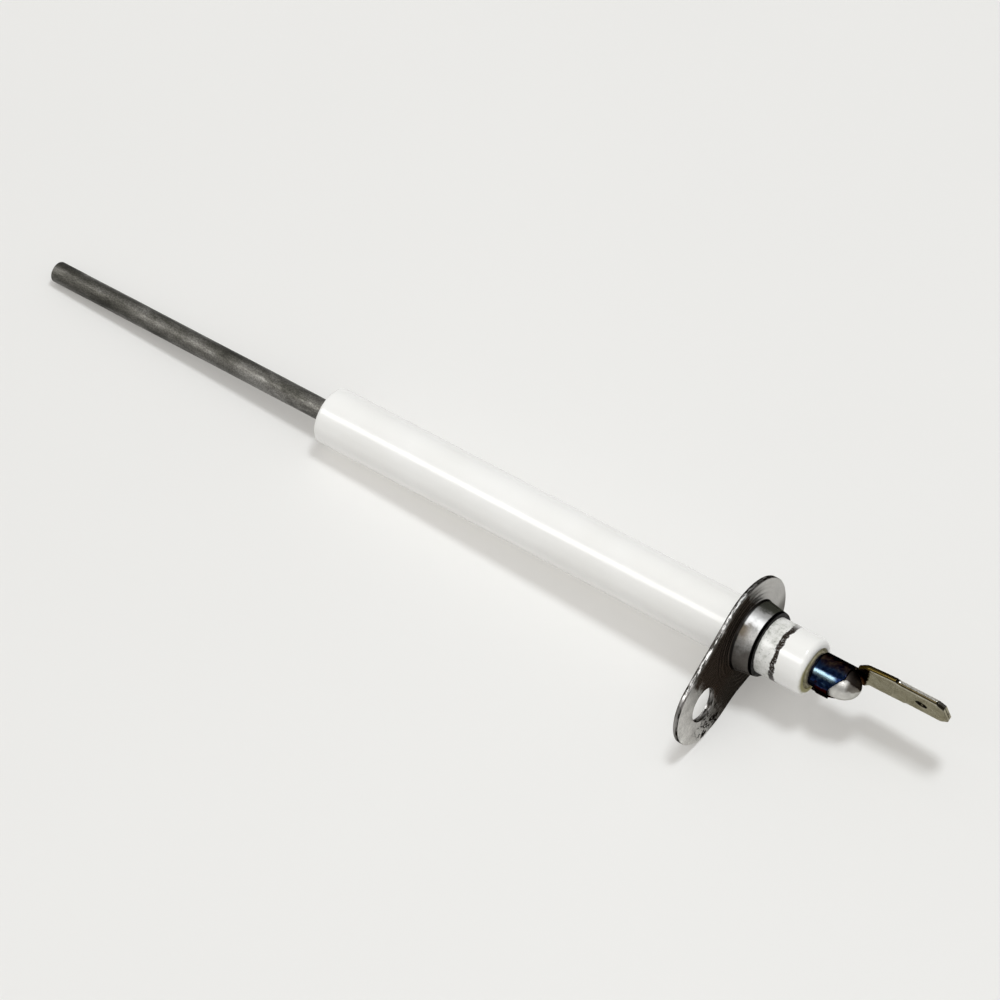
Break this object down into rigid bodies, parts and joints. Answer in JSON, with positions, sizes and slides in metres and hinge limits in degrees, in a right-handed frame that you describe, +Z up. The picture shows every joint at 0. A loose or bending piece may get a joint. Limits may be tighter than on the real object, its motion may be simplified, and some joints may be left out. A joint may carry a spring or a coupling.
{
  "type": "flame electrode",
  "caption": "Straight metal rod electrode in a glazed ceramic sleeve, with a drop-shaped one-screw flange and a flat push-on terminal.",
  "frame": {"origin": "on the electrode's axis, at the flat front face of the flange", "axes": "+X along the electrode, from the bare rod tip to the terminal; +Z up with the electrode lying on the straight flank of its flange; the flange's screw hole lies toward -Y"},
  "size_m": [0.1435, 0.0247, 0.016],
  "materials": {
    "heat_resisting_rod": "oxidised grey-brown drawn rod",
    "glazed_ceramic": "warm white gloss glaze",
    "cement": "matt yellowish refractory cement",
    "flange_steel": "dark satin pressed steel",
    "black_seal": "matt black packing",
    "post_steel": "bare satin steel",
    "plated_terminal": "nickel-plated strip, heat-tinted blue and straw at the barrel"
  },
  "bodies": {
    "root": {"electrode_rod": "heat_resisting_rod", "ceramic_insulator": "glazed_ceramic", "front_cement_seal": "cement", "rear_cement_seal": "cement", "mounting_flange": "flange_steel", "collar_seal_ring": "black_seal", "terminal_post": "post_steel", "spade_terminal": "plated_terminal"}
  },
  "joints": []
}
